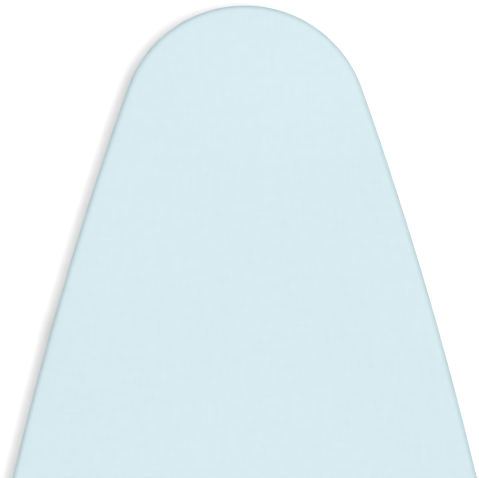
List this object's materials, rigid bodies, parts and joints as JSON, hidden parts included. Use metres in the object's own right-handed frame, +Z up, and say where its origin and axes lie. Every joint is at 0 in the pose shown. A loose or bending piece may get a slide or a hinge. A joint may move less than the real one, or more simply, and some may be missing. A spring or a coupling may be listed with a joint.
{
  "type": "ironing board",
  "caption": "Free-standing folding ironing board with a padded, fabric-covered top, crossed tube legs, transverse feet and a squeeze lever for its height.",
  "frame": {"origin": "on the floor under the middle of the board's length and width, standing open at full height", "axes": "+Z up, +Y towards the nose, +X to the right when looking from the square tail towards the nose"},
  "size_m": [0.396, 1.372, 0.914],
  "materials": {
    "cover_cotton": "pale aqua plain-weave cotton, matt",
    "felt_pad": "needled off-white felt",
    "elastic_knit": "knitted white elastic",
    "frame_paint": "satin light grey powder coat",
    "zinc_steel": "bright zinc plate",
    "cap_plastic": "moulded dark grey plastic, fine grain",
    "grip_plastic": "moulded dark grey plastic, fine grain",
    "slider_nylon": "moulded black nylon",
    "bush_nylon": "natural nylon"
  },
  "bodies": {
    "board": {"cover": "cover_cotton", "hem_elastic": "elastic_knit", "pad": "felt_pad", "top_panel": "frame_paint", "rim_frame": "frame_paint", "front_brace": "frame_paint", "mid_brace": "frame_paint", "rear_brace": "frame_paint", "pivot_bracket_left": "frame_paint", "pivot_bracket_right": "frame_paint", "pivot_bolts": "zinc_steel", "pivot_nuts": "zinc_steel", "slide_rail_left": "frame_paint", "slide_rail_right": "frame_paint", "rack": "zinc_steel"},
    "outer_leg": {"outer_tube_left": "frame_paint", "outer_tube_right": "frame_paint", "outer_plugs": "cap_plastic", "outer_bushes": "bush_nylon", "outer_upper_strap": "frame_paint", "outer_lower_strap": "frame_paint", "outer_foot_bar": "frame_paint", "outer_foot_cap_left": "cap_plastic", "outer_foot_cap_right": "cap_plastic", "centre_bolts": "zinc_steel", "centre_nuts": "zinc_steel", "centre_spacers": "bush_nylon"},
    "inner_leg": {"inner_tube_left": "frame_paint", "inner_tube_right": "frame_paint", "inner_plugs": "cap_plastic", "inner_cross_tube": "frame_paint", "inner_foot_bar": "frame_paint", "inner_foot_cap_left": "cap_plastic", "inner_foot_cap_right": "cap_plastic", "slide_axle": "zinc_steel", "axle_caps": "cap_plastic"},
    "slider": {"slider_block": "slider_nylon", "return_spring": "zinc_steel"},
    "lever": {"lever_wire": "zinc_steel", "lever_grip": "grip_plastic", "pawl": "zinc_steel"}
  },
  "joints": [
    {"name": "outer_leg_fold", "type": "hinge", "parent": "board", "child": "outer_leg", "pos_m": [0, 0.365, 0.872], "axis": [-1, 0, 0], "range_deg": [0, 50]},
    {"name": "inner_leg_fold", "type": "hinge", "parent": "outer_leg", "child": "inner_leg", "pos_m": [0, 0.04682, 0.49281], "axis": [-1, 0, 0], "range_deg": [-100, 0]},
    {"name": "slider_pivot", "type": "hinge", "parent": "inner_leg", "child": "slider", "pos_m": [0, -0.27136, 0.872], "axis": [-1, 0, 0], "range_deg": [0, 50]},
    {"name": "lever_squeeze", "type": "hinge", "parent": "slider", "child": "lever", "pos_m": [0, -0.22636, 0.872], "axis": [1, 0, 0], "range_deg": [0, 8], "stiffness_Nm_per_rad": 2, "springref_deg": -17.19}
  ],
  "couplings": [
    {"joint": "inner_leg_fold", "follows": "outer_leg_fold", "ratio": -2},
    {"joint": "slider_pivot", "follows": "outer_leg_fold", "ratio": 1}
  ]
}
